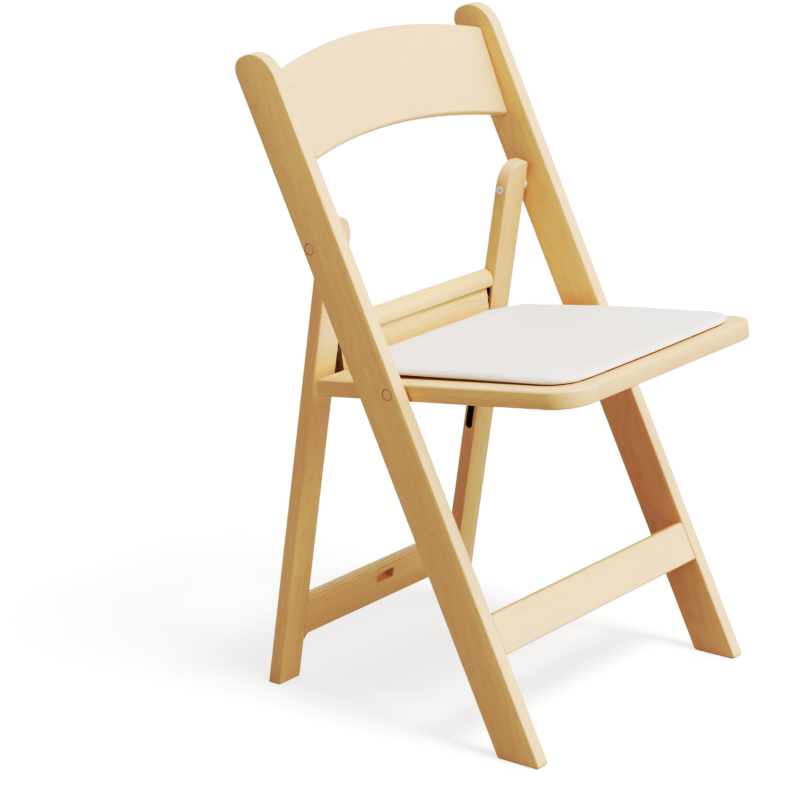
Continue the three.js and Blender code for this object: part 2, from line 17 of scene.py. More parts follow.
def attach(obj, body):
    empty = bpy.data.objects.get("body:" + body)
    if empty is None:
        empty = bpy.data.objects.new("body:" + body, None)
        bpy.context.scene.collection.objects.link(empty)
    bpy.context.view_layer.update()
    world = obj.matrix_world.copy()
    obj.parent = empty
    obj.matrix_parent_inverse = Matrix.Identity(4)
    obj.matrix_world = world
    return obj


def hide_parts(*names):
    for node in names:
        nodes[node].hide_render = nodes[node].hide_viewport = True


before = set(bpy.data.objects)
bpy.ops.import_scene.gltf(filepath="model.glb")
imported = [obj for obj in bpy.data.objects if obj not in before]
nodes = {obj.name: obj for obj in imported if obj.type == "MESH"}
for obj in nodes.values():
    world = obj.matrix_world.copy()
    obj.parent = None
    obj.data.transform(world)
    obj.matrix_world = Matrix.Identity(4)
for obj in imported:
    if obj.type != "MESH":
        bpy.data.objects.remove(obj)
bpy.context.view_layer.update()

scene = bpy.context.scene

# %% [markdown]
# ## Directions of the wood
# A chair maker cuts each part so that the grain runs along it. All finishes here are drawn in space, so
# each one needs to know how its part leans. The angles are measured from straight up, towards the back.

# %% How the parts lean
MM = 0.001
UPRIGHT_LEAN = math.radians(25.32)
REAR_LEG_LEAN = math.radians(-10.4)
SEAT_SLOPE = math.radians(6.65)
SEAT_RAIL_LEAN = math.pi / 2 + SEAT_SLOPE
SEAT_PIVOT = Vector((0, 11.096, 412.790)) * MM

seat_frame = Matrix.Translation(SEAT_PIVOT) @ Matrix.Rotation(-SEAT_SLOPE, 4, "X")
print("seat pivot", [round(x, 4) for x in SEAT_PIVOT], "slope", round(math.degrees(SEAT_SLOPE), 2))

# %% [markdown]
# ## Small helpers for node trees
# A node tree is a recipe. Two helpers keep the recipes short: one adds a node and fills in its inputs,
# where an input may be a plain value or another node's output, and one opens a new group with named inputs
# and outputs.

# %% Node helpers
def node(tree, kind, inputs=None, **settings):
    """Add a node, set its properties, then fill or link its inputs."""
    made = tree.nodes.new(kind)
    for name, value in settings.items():
        setattr(made, name, value)
    for key, value in (inputs or {}).items():
        if isinstance(value, bpy.types.NodeSocket):
            tree.links.new(value, made.inputs[key])
        else:
            made.inputs[key].default_value = value
    return made


def maths(tree, operation, a, b=0.0, clamp=False):
    return node(tree, "ShaderNodeMath", {0: a, 1: b}, operation=operation, use_clamp=clamp).outputs[0]


def new_group(name, inputs, outputs):
    """A shader node group; inputs and outputs are (name, kind, default)."""
    tree = bpy.data.node_groups.new(name, "ShaderNodeTree")
    for direction, sockets in (("INPUT", inputs), ("OUTPUT", outputs)):
        for label, kind, default in sockets:
            kind = "NodeSocket" + kind
            socket = tree.interface.new_socket(name=label, in_out=direction, socket_type=kind)
            if default is not None:
                socket.default_value = default
    start, end = tree.nodes.new("NodeGroupInput"), tree.nodes.new("NodeGroupOutput")
    return tree, start.outputs, end.inputs


def mix_colour(tree, factor, a, b, blend="MIX"):
    made = node(tree, "ShaderNodeMix", data_type="RGBA", blend_type=blend)
    for index, value in ((0, factor), (6, a), (7, b)):
        if isinstance(value, bpy.types.NodeSocket):
            tree.links.new(value, made.inputs[index])
        else:
            made.inputs[index].default_value = value
    return made.outputs[2]


def spread(tree, value, low, high, to_low=0.0, to_high=1.0):
    """Stretch a value from one range to another, and stop it at the ends."""
    inputs = {0: value, 1: low, 2: high, 3: to_low, 4: to_high}
    return node(tree, "ShaderNodeMapRange", inputs, clamp=True).outputs[0]


def within(tree, value, low, high):
    """1 where the value lies between low and high, 0 elsewhere."""
    above = maths(tree, "GREATER_THAN", value, low)
    return maths(tree, "MULTIPLY", above, maths(tree, "LESS_THAN", value, high))


def scaled(tree, vector, factors):
    return node(tree, "ShaderNodeVectorMath", {0: vector, 1: factors}, operation="MULTIPLY").outputs[0]


def noise(tree, vector, scale=1.0, detail=2.0, roughness=0.5):
    inputs = {"Vector": vector, "Scale": scale, "Detail": detail, "Roughness": roughness}
    return node(tree, "ShaderNodeTexNoise", inputs)


IN_MM = (1000, 1000, 1000)         # millimetres are easier to think in

# %% [markdown]
# ## The wood
# The chair is beech under a thin satin varnish. Beech shows three things from near to far: short fine
# pores, hair-thin fibres, and the faint bands of the growth rings, which draw long flames where a board is
# cut across them. One group makes all three. It expects X along the part, so one group serves every part,
# turned by a Mapping node before it.

# %% The wood grain group
HEART_DEPTH = 70.0                 # from the part's middle to the heart of the tree, in mm
RING_WANDER = 60.0                 # how far the rings stray along a board, in mm
PATCHINESS = 0.35
BASE_TONE = 0.2


def wood_grain_group():
    tree, given, out = new_group(
        "Wood grain",
        [("Vector", "Vector", None), ("Light", "Color", (0.8, 0.6, 0.35, 1)),
         ("Dark", "Color", (0.5, 0.3, 0.12, 1)), ("Rings", "Float", 0.3), ("Fibres", "Float", 0.3),
         ("Pores", "Float", 0.3), ("Ring width", "Float", 4.0)],
        [("Color", "Color", None), ("Roughness", "Float", None), ("Height", "Float", None)])
    place = scaled(tree, given["Vector"], IN_MM)

    # growth rings: circles round a heart far to one side, bent by a slow wander along the board
    wander = noise(tree, scaled(tree, place, (0.0045, 0.022, 0.022)), roughness=0.45)
    split = node(tree, "ShaderNodeSeparateXYZ", {0: place}).outputs
    across = maths(tree, "ADD", split["Y"], maths(tree, "MULTIPLY", split["X"], 0.012))
    bent = maths(tree, "MULTIPLY", maths(tree, "SUBTRACT", wander.outputs[0], 0.5), RING_WANDER)
    deep = maths(tree, "ADD", split["Z"], HEART_DEPTH)
    reach = node(tree, "ShaderNodeCombineXYZ", {"X": across, "Y": deep}).outputs[0]
    radius = node(tree, "ShaderNodeVectorMath", {0: reach}, operation="LENGTH").outputs["Value"]
    rings = maths(tree, "DIVIDE", maths(tree, "ADD", radius, bent), given["Ring width"])
    phase = maths(tree, "FRACT", rings)
    late = maths(tree, "POWER", phase, 3.0)
    fall = spread(tree, phase, 0.9, 1.0, 1.0, 0.0)
    ring = maths(tree, "MULTIPLY", late, fall)

    # fibres: noise drawn out forty-five times along the part
    fibre = noise(tree, scaled(tree, place, (0.012, 0.55, 0.55)), detail=5.0, roughness=0.62).outputs[0]

    # pores: short dark dashes, a couple of millimetres long
    dashes = noise(tree, scaled(tree, place, (0.35, 3.2, 3.2)), detail=1.0).outputs[0]
    pore = spread(tree, dashes, 0.60, 0.72)

    # broad patches, a hand's width across, that vary the tone a little
    patch = noise(tree, scaled(tree, place, (0.006, 0.02, 0.02))).outputs[0]

    dark = maths(tree, "MULTIPLY", ring, given["Rings"])
    fibre_share = maths(tree, "MULTIPLY", maths(tree, "SUBTRACT", fibre, 0.5), given["Fibres"])
    pore_share = maths(tree, "MULTIPLY", pore, given["Pores"])
    patch_share = maths(tree, "MULTIPLY", maths(tree, "SUBTRACT", patch, 0.5), PATCHINESS)
    drawn_share, spot_share = (maths(tree, "ADD", *pair)
                               for pair in ((dark, fibre_share), (pore_share, patch_share)))
    tone = maths(tree, "ADD", maths(tree, "ADD", drawn_share, spot_share), BASE_TONE, clamp=True)
    tree.links.new(mix_colour(tree, tone, given["Light"], given["Dark"]), out["Color"])
    rough = maths(tree, "ADD", maths(tree, "MULTIPLY", fibre, 0.10), maths(tree, "MULTIPLY", pore, 0.10))
    tree.links.new(rough, out["Roughness"])
    height = maths(tree, "SUBTRACT", maths(tree, "MULTIPLY", fibre, 0.5), maths(tree, "MULTIPLY", pore, 0.6))
    tree.links.new(height, out["Height"])
    return tree


wood_grain = wood_grain_group()
print("wood grain group:", len(wood_grain.nodes), "nodes")

# %% [markdown]
# ## Marks of the joinery, and painted shade in its gaps
# A wood plug shows a dark ring, where glue gathered round it. Where two pieces meet, a thin dark line is
# painted at the end of a piece: painted shade, for the contact shadow in the narrow gap. Inside the guide
# slots the wood is bare and a little rougher, and painted near black as painted shade deep in the slot. Four
# small groups make masks for these: a line at a set distance from the middle of the chair, a ring round a
# bore that runs from side to side, a long narrow box that follows the leaning rear leg, and all that lies
# beyond a plane. Beyond a plane under the top rail, the rail is painted dark, as painted shade under it. The
# last group also draws stripes, for the top edges of the stretchers, where the growth rings come out as
# straight lines.

# %% Masks for joint shadows, plugs and slot shade
REAR_FOOT_Y = 0.215381             # where the rear leg's front line meets the floor, in metres
SLOT_SIDE = (152.25, 163.5)        # the slot's box, in mm: sideways, back and along the leg
SLOT_BACK = (4.0, 14.4)
SLOT_ALONG = (251.0, 448.5)
STRIPE_DRIFT = 4.0                 # how far the stripes stray, in mm


def arm_from(tree, place, point):
    return node(tree, "ShaderNodeVectorMath", {0: place, 1: point}, operation="SUBTRACT").outputs[0]


def joint_shadow_group():
    """Mask of a thin band that ends at a set distance from the chair's middle plane: painted contact shadow
    at a joint.
    """
    tree, given, out = new_group(
        "Joint shadow", [("Vector", "Vector", None), ("At", "Float", 197.0), ("Width", "Float", 1.2)],
        [("Mask", "Float", None)])
    place = node(tree, "ShaderNodeSeparateXYZ", {0: scaled(tree, given["Vector"], IN_MM)}).outputs
    inside = maths(tree, "SUBTRACT", given["At"], maths(tree, "ABSOLUTE", place["X"]))
    share = maths(tree, "DIVIDE", inside, given["Width"])
    tree.links.new(spread(tree, share, 0.3, 1.0, 1.0, 0.0), out["Mask"])
    return tree


def bore_ring_group():
    """Mask of a thin ring round a bore along X, broken a little where the glue missed."""
    tree, given, out = new_group(
        "Bore ring", [("Vector", "Vector", None), ("Centre", "Vector", (0, 0, 0)),
                      ("Radius", "Float", 6.6), ("Width", "Float", 0.8)], [("Mask", "Float", None)])
    flat = scaled(tree, arm_from(tree, scaled(tree, given["Vector"], IN_MM), given["Centre"]), (0, 1, 1))
    radius = node(tree, "ShaderNodeVectorMath", {0: flat}, operation="LENGTH").outputs["Value"]
    edge = maths(tree, "ADD", given["Radius"], given["Width"])
    ring = maths(tree, "LESS_THAN", radius, edge)
    broken = spread(tree, noise(tree, flat, 0.45, 1.0).outputs[0], 0.36, 0.50, 0.35, 1.0)
    tree.links.new(maths(tree, "MULTIPLY", ring, broken), out["Mask"])
    return tree


def slot_mask_group():
    """Mask of the guide slot: a box in the rear leg's own leaning frame."""
    tree, given, out = new_group("Slot inside", [("Vector", "Vector", None)], [("Mask", "Float", None)])
    from_foot = scaled(tree, arm_from(tree, given["Vector"], (0, REAR_FOOT_Y, 0)), IN_MM)
    inputs = {"Vector": from_foot, "Rotation": (REAR_LEG_LEAN, 0, 0)}
    turned = node(tree, "ShaderNodeMapping", inputs, vector_type="POINT").outputs[0]
    place = node(tree, "ShaderNodeSeparateXYZ", {0: turned}).outputs
    side = within(tree, maths(tree, "ABSOLUTE", place["X"]), *SLOT_SIDE)
    back = within(tree, place["Y"], *SLOT_BACK)
    along_leg = within(tree, place["Z"], *SLOT_ALONG)
    tree.links.new(maths(tree, "MULTIPLY", maths(tree, "MULTIPLY", side, back), along_leg), out["Mask"])
    return tree


def face_group():
    """Mask of all that lies beyond a plane, and stripes that run along X on it."""
    tree, given, out = new_group(
        "Face", [("Vector", "Vector", None), ("Point", "Vector", (0, 0, 0)),
                 ("Outwards", "Vector", (0, 0, 1)), ("Across", "Vector", (0, 1, 0)),
                 ("Stripe", "Float", 4.0)],
        [("Mask", "Float", None), ("Stripes", "Float", None)])
    arm = arm_from(tree, scaled(tree, given["Vector"], IN_MM), given["Point"])
    beyond, across = (
        node(tree, "ShaderNodeVectorMath", {0: arm, 1: given[way]}, operation="DOT_PRODUCT").outputs["Value"]
        for way in ("Outwards", "Across"))
    mask = maths(tree, "GREATER_THAN", beyond, 0.0)
    drift = noise(tree, scaled(tree, arm, (0.02, 0.15, 0.15)))
    bent = maths(tree, "ADD", across, maths(tree, "MULTIPLY", drift.outputs[0], STRIPE_DRIFT))
    wave = maths(tree, "PINGPONG", bent, maths(tree, "DIVIDE", given["Stripe"], 2.0))
    dark = spread(tree, maths(tree, "DIVIDE", wave, given["Stripe"]), 0.22, 0.36)
    tree.links.new(mask, out["Mask"])
    tree.links.new(maths(tree, "MULTIPLY", mask, dark), out["Stripes"])
    return tree


joint_shadow, bore_ring = joint_shadow_group(), bore_ring_group()
slot_inside, face_mask = slot_mask_group(), face_group()
print("masks:", joint_shadow.name, "/", bore_ring.name, "/", slot_inside.name, "/", face_mask.name)

# %% [markdown]
# ## A finish for each part
# Every wooden part gets its own material from the same group: the Mapping node turns the pattern along the
# part and shifts it, as if each were sawn from another plank. The varnish is a thin coat over the wood.

# %% Beech finishes
BEECH_LIGHT = (0.74, 0.45, 0.235, 1)
BEECH_DARK = (0.58, 0.31, 0.135, 1)


def blank_material(name):
    material = bpy.data.materials.new(name)
    material.use_nodes = True
    tree = material.node_tree
    return material, tree, tree.nodes["Principled BSDF"]


# dark brown: glue rings round the plugs, and painted shade in the joint gaps and under the top rail
GLUE_AND_PAINTED_SHADE = (0.16, 0.085, 0.032, 1)
STRIPE = (0.40, 0.20, 0.075, 1)
# near black: painted shade inside the guide slots
SLOT_SHADE = (0.018, 0.012, 0.009, 1)
UPPER_PIVOT = (0, 120.238, 569.353)      # axes of the two bores in each upright, in mm
SEAT_BORE = (0, 11.096, 412.790)
PLUG_RADIUS = 6.25
BEECH_ROUGHNESS, SLOT_ROUGHER = 0.36, 0.4
BEECH_GLOSS = {"Coat Weight": 0.25, "Coat Roughness": 0.3}


def drawn(tree, group, spot, **values):
    """Use a group at that spot; an underscore in an input's name stands for a space."""
    inputs = {name.replace("_", " "): value for name, value in values.items()}
    return node(tree, "ShaderNodeGroup", {"Vector": spot, **inputs}, node_tree=group).outputs


def raise_surface(tree, shader, height, strength, distance):
    bump = node(tree, "ShaderNodeBump", {"Height": height, "Strength": strength, "Distance": distance})
    tree.links.new(bump.outputs[0], shader.inputs["Normal"])


def beech(name, turn, shift, light=BEECH_LIGHT, dark=BEECH_DARK, rings=0.3, fibres=0.5, pores=0.15,
          ring_width=5.0, joint_shadow_at=None, plugs=(), slot=False, shade_face=None, striped=None):
    """Varnished beech; turn lays the pattern's X along the part, shift picks the plank."""
    material, tree, shader = blank_material(name)
    spot = node(tree, "ShaderNodeTexCoord").outputs["Object"]
    laid = node(tree, "ShaderNodeMapping", {"Vector": spot, "Rotation": turn, "Location": shift}).outputs[0]
    grain = drawn(tree, wood_grain, laid, Light=light, Dark=dark, Rings=rings, Fibres=fibres, Pores=pores,
                  Ring_width=ring_width)
    colour = grain["Color"]
    rough = maths(tree, "ADD", grain["Roughness"], BEECH_ROUGHNESS)
    # painted shade: a thin dark line at the part's end stands for the contact shadow in the joint's gap
    if joint_shadow_at:
        mask = drawn(tree, joint_shadow, spot, At=joint_shadow_at)["Mask"]
        colour = mix_colour(tree, mask, colour, GLUE_AND_PAINTED_SHADE)
    for centre in plugs:
        mask = drawn(tree, bore_ring, spot, Centre=centre, Radius=PLUG_RADIUS)["Mask"]
        colour = mix_colour(tree, mask, colour, GLUE_AND_PAINTED_SHADE)
    # painted shade: the inside of the guide slot is painted near black, and made a little rougher
    if slot:
        mask = drawn(tree, slot_inside, spot)["Mask"]
        colour = mix_colour(tree, mask, colour, SLOT_SHADE)
        rough = maths(tree, "ADD", rough, maths(tree, "MULTIPLY", mask, SLOT_ROUGHER))
    # beyond a shade face the wood gets painted shade; on a striped face the grain's stripes are drawn
    for face, output, paint in ((shade_face, "Mask", GLUE_AND_PAINTED_SHADE), (striped, "Stripes", STRIPE)):
        if face:
            point, outwards, across = face
            marks = drawn(tree, face_mask, spot, Point=point, Outwards=outwards, Across=across)
            colour = mix_colour(tree, marks[output], colour, paint)
    tree.links.new(colour, shader.inputs["Base Color"])
    tree.links.new(rough, shader.inputs["Roughness"])
    raise_surface(tree, shader, grain["Height"], 0.12, 0.0004)
    for label, value in BEECH_GLOSS.items():
        shader.inputs[label].default_value = value
    return material


def along(lean):
    """Turns for a part that leans back by that angle: its length is laid along X."""
    return (lean, math.pi / 2, 0)


def plane(lean, foot, distance):
    """A plane square to a leaning part, that far from its foot, as (point, outwards, across) in mm."""
    outwards = (0, math.sin(lean), math.cos(lean))
    across = (0, math.cos(lean), -math.sin(lean))
    point = tuple(f + distance * o for f, o in zip(foot, outwards))
    return point, outwards, across


def facing_down(face):
    point, outwards, across = face
    return point, tuple(-x for x in outwards), across


FRONT_FOOT = (0, -199.03, 0)       # where the front lines of the two frames meet the floor, in mm
REAR_FOOT = (0, 1000 * REAR_FOOT_Y, 0)
SKIN = 0.8                         # a face's finish reaches this deep, in mm
FRONT_STRETCHER_TOP = plane(UPRIGHT_LEAN, FRONT_FOOT, 185.2 - SKIN)
REAR_STRETCHER_TOP = plane(REAR_LEG_LEAN, REAR_FOOT, 105.2 - SKIN)
# painted shade: all of the top rail beyond this plane, its underside, is painted dark
TOP_RAIL_UNDER = facing_down(plane(REAR_LEG_LEAN, REAR_FOOT, 451.2 + SKIN))

SIDEWAYS = (0, 0, 0)
WARM_LIGHT, WARM_DARK = (0.75, 0.44, 0.20, 1), (0.52, 0.25, 0.085, 1)
FACE_LIGHT = (0.74, 0.46, 0.25, 1)
PLUG_LIGHT, PLUG_DARK = (0.74, 0.45, 0.23, 1), (0.56, 0.30, 0.13, 1)

wood_finishes = {
    "front_upright": beech("Beech upright", along(UPRIGHT_LEAN), (0.4, 0.1, 0.02), fibres=0.55,
                           plugs=(UPPER_PIVOT, SEAT_BORE)),
    "rear_leg": beech("Beech rear leg", along(REAR_LEG_LEAN), (1.7, 0.03, 0.09), fibres=0.7, pores=0.25,
                      slot=True),
    "seat_side_rail": beech("Beech seat rail", along(SEAT_RAIL_LEAN), (2.3, 0.02, 0.05), fibres=0.6,
                            pores=0.2),
    "backrest_panel": beech("Beech back panel", (UPRIGHT_LEAN, 0, 0), (3.1, 0.4, 0.07), light=FACE_LIGHT,
                            rings=0.22, fibres=0.75, pores=0.25, joint_shadow_at=197.6),
    "front_stretcher": beech("Beech front stretcher", (UPRIGHT_LEAN, 0, 0), (5.2, 0.3, 0.11), rings=0.22,
                             fibres=0.7, pores=0.25, ring_width=6.0, joint_shadow_at=197.3,
                             striped=FRONT_STRETCHER_TOP),
    "rear_stretcher": beech("Beech rear stretcher", (REAR_LEG_LEAN, 0, 0), (6.1, 0.2, 0.16), rings=0.2,
                            fibres=0.7, pores=0.25, ring_width=6.5, striped=REAR_STRETCHER_TOP),
    "seat_stop_rail": beech("Beech stop rail", SIDEWAYS, (7.4, 0.13, 0.31), light=WARM_LIGHT, dark=WARM_DARK,
                            rings=0.5, fibres=0.8, pores=0.3, ring_width=7.0, joint_shadow_at=144.4),
    "rear_top_rail": beech("Beech top rail", SIDEWAYS, (8.3, 0.33, 0.12), light=WARM_LIGHT, rings=0.4,
                           fibres=0.7, shade_face=TOP_RAIL_UNDER),
    "seat_front_rail": beech("Beech front rail", SIDEWAYS, (9.1, 0.21, 0.27), fibres=0.6, pores=0.2),
    "seat_back_rail": beech("Beech hidden rail", SIDEWAYS, (10.2, 0.27, 0.19), fibres=0.6, pores=0.2),
}
print(len(wood_finishes), "beech finishes")

# %% [markdown]
# ## Plywood, plugs and the small parts
# The seat panel is plywood: its flat faces show a wide birch flame, and its edges the thin plies. The plugs
# are cut across the grain of another board, a little darker than the wood round them. The bolts and screws
# are zinc plated steel, drawn with a fine cloudy sheen; the spacers are natural nylon; the board under the
# cushion is covered with black cloth, whose threads show as a fine weave. The black is painted shade in
# part: it deepens the real shadow in the gap under the cushion's edge.

# %% A cloudy sheen for small parts
def cloud_group():
    """Soft cloudy tone in two sizes, from an object's own coordinates."""
    tree, given, out = new_group("Cloud", [("Vector", "Vector", None), ("Size", "Float", 4.0)],
                                 [("Tone", "Float", None), ("Fine", "Float", None)])
    place = scaled(tree, given["Vector"], IN_MM)
    broad = maths(tree, "DIVIDE", 1.0, given["Size"])
    tree.links.new(noise(tree, place, broad, 3.0).outputs[0], out["Tone"])
    tree.links.new(noise(tree, place, 2.4, 4.0).outputs[0], out["Fine"])
    return tree


cloud = cloud_group()


def cloudy(name, dark, light, rough_low, rough_high, size, metallic=0.0, bump=0.15):
    material, tree, shader = blank_material(name)
    spot = node(tree, "ShaderNodeTexCoord").outputs["Object"]
    haze = drawn(tree, cloud, spot, Size=size)
    tone = spread(tree, haze["Tone"], 0.3, 0.7)
    tree.links.new(mix_colour(tree, tone, dark, light), shader.inputs["Base Color"])
    rough = spread(tree, haze["Fine"], 0.3, 0.7, rough_low, rough_high)
    tree.links.new(rough, shader.inputs["Roughness"])
    raise_surface(tree, shader, haze["Fine"], bump, 0.0002)
    shader.inputs["Metallic"].default_value = metallic
    return material


steel = cloudy("Zinc-plated steel", (0.74, 0.73, 0.71, 1), (0.90, 0.89, 0.87, 1), 0.22, 0.40, size=5.0,
               metallic=1.0)
nylon = cloudy("Natural nylon", (0.70, 0.60, 0.42, 1), (0.80, 0.72, 0.55, 1), 0.40, 0.55, size=8.0, bump=0.08)
plugs = beech("Beech plugs and dowels", SIDEWAYS, (11.3, 0.17, 0.23), light=PLUG_LIGHT, dark=PLUG_DARK,
              rings=0.4, fibres=0.8, pores=0.4, ring_width=3.0)
print("small parts:", steel.name, "/", nylon.name, "/", plugs.name)

# %% Plywood and the black board cloth, painted shade
PLY_THICK = 1.5                    # mm
PLY_ROUGHNESS = 0.48
THREAD = 0.5                       # mm from thread to thread
CLOTH_DARK, CLOTH_LIGHT = (0.012, 0.010, 0.009, 1), (0.05, 0.045, 0.04, 1)
PLY_LIGHT, PLY_DARK = (0.66, 0.45, 0.25, 1), (0.44, 0.27, 0.13, 1)


def plywood_finish():
    material, tree, shader = blank_material("Birch plywood")
    spot = node(tree, "ShaderNodeTexCoord").outputs["Object"]
    inputs = {"Vector": spot, "Rotation": (SEAT_SLOPE, 0, 0), "Location": (0, 0, 0.4)}
    laid = node(tree, "ShaderNodeMapping", inputs).outputs[0]
    grain = drawn(tree, wood_grain, laid, Light=PLY_LIGHT, Dark=PLY_DARK, Rings=0.6, Fibres=0.6, Pores=0.3,
                  Ring_width=12.0)
    height = node(tree, "ShaderNodeSeparateXYZ", {0: scaled(tree, laid, IN_MM)}).outputs["Z"]
    ply = maths(tree, "GREATER_THAN", maths(tree, "PINGPONG", height, PLY_THICK), PLY_THICK / 2)
    layered = mix_colour(tree, maths(tree, "MULTIPLY", ply, 0.25), grain["Color"], PLY_DARK)
    tree.links.new(layered, shader.inputs["Base Color"])
    tree.links.new(maths(tree, "ADD", grain["Roughness"], PLY_ROUGHNESS), shader.inputs["Roughness"])
    raise_surface(tree, shader, grain["Height"], 0.2, 0.0004)
    return material


def shade_black_cloth():
    """Black cloth, black as painted shade under the cushion's edge: two crossing sets of threads."""
    material, tree, shader = blank_material("Black shade cloth")
    spot = node(tree, "ShaderNodeTexCoord").outputs["Object"]
    place = node(tree, "ShaderNodeSeparateXYZ", {0: scaled(tree, spot, IN_MM)}).outputs
    warp, weft = (maths(tree, "PINGPONG", place[way], THREAD) for way in "XY")
    thread = maths(tree, "MULTIPLY", maths(tree, "MAXIMUM", warp, weft), 1 / THREAD)
    tree.links.new(mix_colour(tree, thread, CLOTH_DARK, CLOTH_LIGHT), shader.inputs["Base Color"])
    raise_surface(tree, shader, thread, 0.3, 0.0003)
    tree.links.new(spread(tree, thread, 0.0, 1.0, 0.9, 0.75), shader.inputs["Roughness"])
    return material


plywood, board = plywood_finish(), shade_black_cloth()
print("sheets:", plywood.name, "/", board.name)

# %% [markdown]
# ## Putting finishes on the pieces
# The name of each solid says what it is, and its slot in the CAD record says what it is made of. Woods are
# given out by name, so that each part is sawn from its own plank; the rest go by slot.

# %% Give out the finishes
BY_SLOT = {"steel": steel, "nylon": nylon, "board_black": board, "wood_dowel": plugs, "plywood": plywood}


def finish_of(name, slot_name):
    if slot_name in BY_SLOT:
        return BY_SLOT[slot_name]
    return next((finish for start, finish in wood_finishes.items() if name.startswith(start)), None)


given_out = 0
for name, solid in nodes.items():
    finish = finish_of(name, solid.data.materials[0].name)
    if finish:
        solid.data.materials[0] = finish
        given_out += 1
print(given_out, "solids finished")

# %% [markdown]
# ## The cushion
# The real cushion is foam on a thin board, with vinyl pulled over both and stapled underneath. It is made
# the same way here: a flat blank with rounded corners is cut a little small, turned into an even net of
# squares, and blown up as cloth while its underside stays on the board. The vinyl then crowns in the middle
# and its sides pull in between the corners. The front rests on the seat's rim and the rear stands a few
# millimetres off it, which leaves the dark wedge seen under the edge. The vinyl is pulled from underneath,
# so it shows no seam.

# %% Cut the blank
PAD_HALF, PAD_FRONT, PAD_REAR = 176.2 * MM, -228.0 * MM, 115.5 * MM
PAD_TOP, PAD_LOW = 20.5 * MM, 9.2 * MM
FRONT_CORNER, REAR_CORNER = 36 * MM, 52 * MM
TOP_ROUND, LOW_ROUND = 6.0 * MM, 1.6 * MM
SIDE_PULL, FRONT_BOW = 1.2 * MM, 4.8 * MM
LIFT_FROM, LIFT_TO = -130 * MM, 115 * MM         # the underside rises from here to here
LIFT = 3.0 * MM
DROP_FROM, DROP = -70 * MM, 3.2 * MM             # towards the front the crown falls away


def rounded_edges(form, edges, radius, segments):
    bmesh.ops.bevel(form, geom=edges, offset=radius, offset_type="OFFSET", segments=segments,
                    profile=0.5, affect="EDGES", material=-1, clamp_overlap=False)


def cushion_blank():
    """The cut foam, in the seat's own flat frame: y runs back and z up from the seat pivot."""
    form = bmesh.new()
    bmesh.ops.create_cube(form, size=1)
    depth, thick = PAD_REAR - PAD_FRONT, PAD_TOP - PAD_LOW
    bmesh.ops.scale(form, vec=(2 * PAD_HALF, depth, thick), verts=form.verts)
    bmesh.ops.translate(form, vec=(0, PAD_FRONT + depth / 2, (PAD_TOP + PAD_LOW) / 2), verts=form.verts)
    upright = [e for e in form.edges if abs(e.verts[0].co.z - e.verts[1].co.z) > MM]
    front = [e for e in upright if e.verts[0].co.y < 0]
    rear = [e for e in upright if e.verts[0].co.y > 0]
    rounded_edges(form, front, FRONT_CORNER, 8)
    rounded_edges(form, rear, REAR_CORNER, 8)
    for level, radius in ((PAD_TOP, TOP_ROUND), (PAD_LOW, LOW_ROUND)):
        rim = [e for e in form.edges if all(abs(v.co.z - level) < 1e-6 for v in e.verts)]
        rounded_edges(form, rim, radius, 4)
    mesh = bpy.data.meshes.new("cushion_blank")
    form.to_mesh(mesh)
    form.free()
    blank = bpy.data.objects.new("cushion_blank", mesh)
    scene.collection.objects.link(blank)
    return blank


def applied(obj):
    """Bake the object's modifiers into a fresh mesh."""
    graph = bpy.context.evaluated_depsgraph_get()
    graph.update()
    return bpy.data.meshes.new_from_object(obj.evaluated_get(graph))


blank = cushion_blank()
print("blank:", len(blank.data.polygons), "faces,", [round(x * 1000, 1) for x in blank.dimensions], "mm")

# %% [markdown]
# ## Stuffing it
# Remesh lays an even net of 4 mm squares over the blank. The Cloth modifier then presses it out from inside
# for twenty frames with gravity off; the points on the underside are pinned. Each point's way is softly
# capped, so the crown stays below what the folded chair has room for.

# %% Blow up the cloth
NET = 4 * MM
CROWN_CAP = 1.8 * MM
PRESSURE = 4.0
MASS, STRETCH, BENDING, QUALITY = 0.3, 15, 2, 6
FRAMES = 20


def net_over(obj):
    grid = obj.modifiers.new("Even net", "REMESH")
    grid.mode = "VOXEL"
    grid.voxel_size = NET
    mesh = applied(obj)
    obj.modifiers.clear()
    obj.data = mesh
    return mesh


def underside(mesh):
    return [v.index for v in mesh.vertices if v.co.z < PAD_LOW + 1 * MM]


def blown_up(obj):
    held = obj.vertex_groups.new(name="On the board")
    held.add(underside(obj.data), 1.0, "REPLACE")
    cloth = obj.modifiers.new("Vinyl", "CLOTH")
    cloth.settings.quality = QUALITY
    cloth.settings.mass = MASS
    cloth.settings.tension_stiffness = cloth.settings.compression_stiffness = STRETCH
    cloth.settings.bending_stiffness = BENDING
    cloth.settings.use_pressure = True
    cloth.settings.uniform_pressure_force = PRESSURE
    cloth.settings.vertex_group_mass = held.name
    cloth.settings.effector_weights.gravity = 0
    cloth.point_cache.frame_start, cloth.point_cache.frame_end = 1, FRAMES
    for frame_number in range(1, FRAMES + 1):
        scene.frame_set(frame_number)
    mesh = applied(obj)
    obj.modifiers.clear()
    return mesh


start = net_over(blank)
end = blown_up(blank)
rise = max(e.co.z - s.co.z for e, s in zip(end.vertices, start.vertices))
print("net of", len(start.vertices), "points, free rise", round(rise * 1000, 1), "mm")

# %% Finish the cushion's shape
MIDDLE, HALF_DEPTH = (PAD_FRONT + PAD_REAR) / 2, (PAD_REAR - PAD_FRONT) / 2


def hump(share):
    """1 in the middle, 0 at both ends."""
    return max(0.0, 1 - share ** 2)


